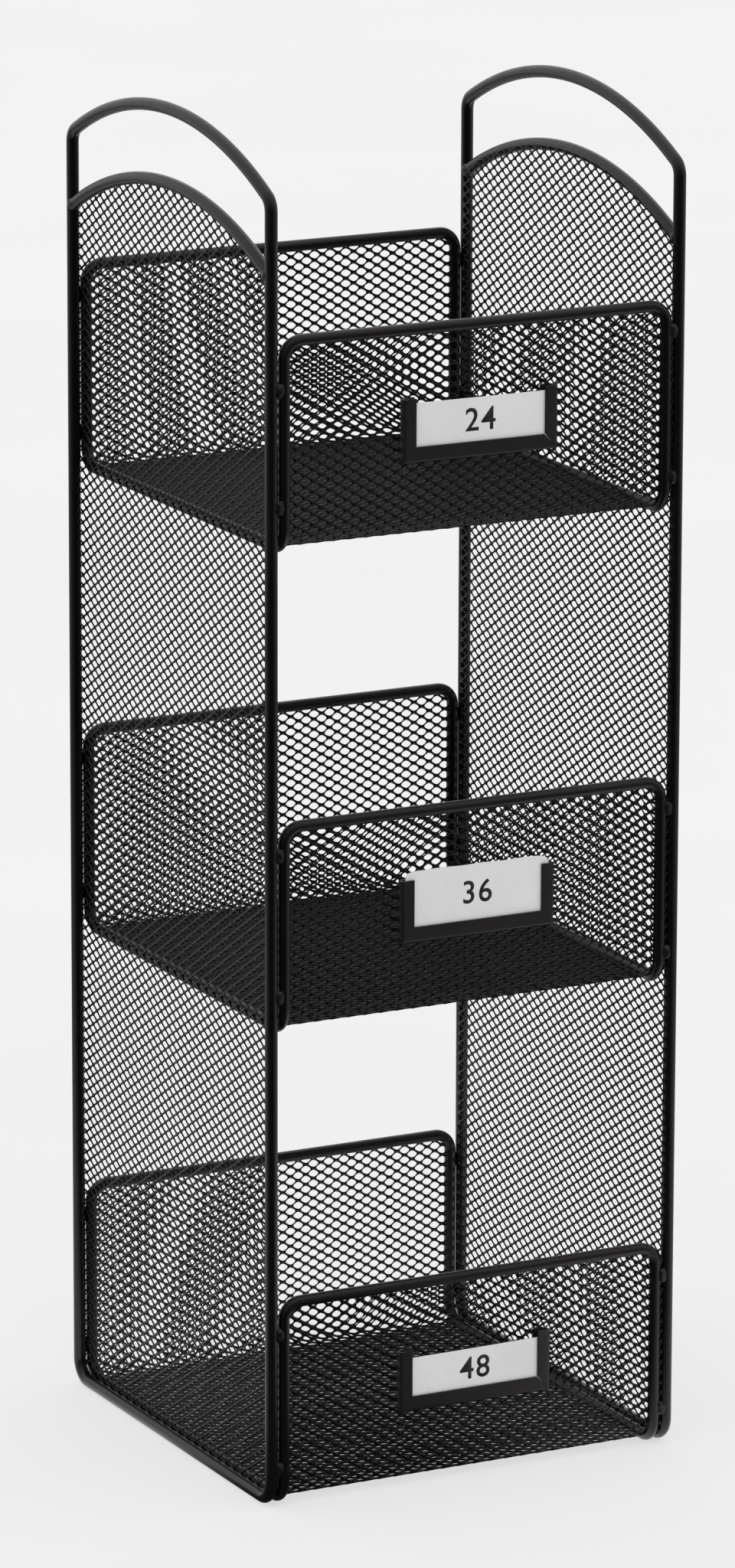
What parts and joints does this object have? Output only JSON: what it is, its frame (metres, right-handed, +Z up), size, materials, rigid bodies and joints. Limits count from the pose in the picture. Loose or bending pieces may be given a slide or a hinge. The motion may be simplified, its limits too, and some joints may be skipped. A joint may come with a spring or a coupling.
{
  "type": "tower organizer",
  "caption": "Free-standing open tower organizer of black bent wire and expanded-metal mesh, with stacked U-shaped trays, arched handles on the side frames and sliding label cards.",
  "frame": {"origin": "on the table, under the middle of the tower", "axes": "+Z up, tray fronts face -Y, +X to the right seen from the front"},
  "size_m": [0.1524, 0.1541, 0.4572],
  "materials": {
    "wire_paint": "semi-gloss black powder coat on round steel wire",
    "mesh_paint": "semi-gloss black powder coat on expanded steel",
    "holder_paint": "satin black powder coat on folded sheet steel",
    "card_stock": "matt white card"
  },
  "bodies": {
    "organizer": {"left_side_frame": "wire_paint", "left_lower_arch": "wire_paint", "left_mesh_panel": "mesh_paint", "right_side_frame": "wire_paint", "right_lower_arch": "wire_paint", "right_mesh_panel": "mesh_paint", "bottom_tray_frame": "wire_paint", "bottom_tray_mesh": "mesh_paint", "bottom_label_holder": "holder_paint", "bottom_weld_front_left_lower": "wire_paint", "bottom_weld_front_left_upper": "wire_paint", "bottom_weld_front_right_lower": "wire_paint", "bottom_weld_front_right_upper": "wire_paint", "bottom_weld_back_left_lower": "wire_paint", "bottom_weld_back_left_upper": "wire_paint", "bottom_weld_back_right_lower": "wire_paint", "bottom_weld_back_right_upper": "wire_paint", "middle_tray_frame": "wire_paint", "middle_tray_mesh": "mesh_paint", "middle_label_holder": "holder_paint", "middle_weld_front_left_lower": "wire_paint", "middle_weld_front_left_upper": "wire_paint", "middle_weld_front_right_lower": "wire_paint", "middle_weld_front_right_upper": "wire_paint", "middle_weld_back_left_lower": "wire_paint", "middle_weld_back_left_upper": "wire_paint", "middle_weld_back_right_lower": "wire_paint", "middle_weld_back_right_upper": "wire_paint", "top_tray_frame": "wire_paint", "top_tray_mesh": "mesh_paint", "top_label_holder": "holder_paint", "top_weld_front_left_lower": "wire_paint", "top_weld_front_left_upper": "wire_paint", "top_weld_front_right_lower": "wire_paint", "top_weld_front_right_upper": "wire_paint", "top_weld_back_left_lower": "wire_paint", "top_weld_back_left_upper": "wire_paint", "top_weld_back_right_lower": "wire_paint", "top_weld_back_right_upper": "wire_paint"},
    "top_card": {"top_label_card": "card_stock"},
    "middle_card": {"middle_label_card": "card_stock"},
    "bottom_card": {"bottom_label_card": "card_stock"}
  },
  "joints": [
    {"name": "top_card_slide", "type": "slide", "parent": "organizer", "child": "top_card", "axis": [0, 0, 1], "range_m": [0, 0.0202]},
    {"name": "middle_card_slide", "type": "slide", "parent": "organizer", "child": "middle_card", "axis": [0, 0, 1], "range_m": [0, 0.0202]},
    {"name": "bottom_card_slide", "type": "slide", "parent": "organizer", "child": "bottom_card", "axis": [0, 0, 1], "range_m": [0, 0.0202]}
  ]
}
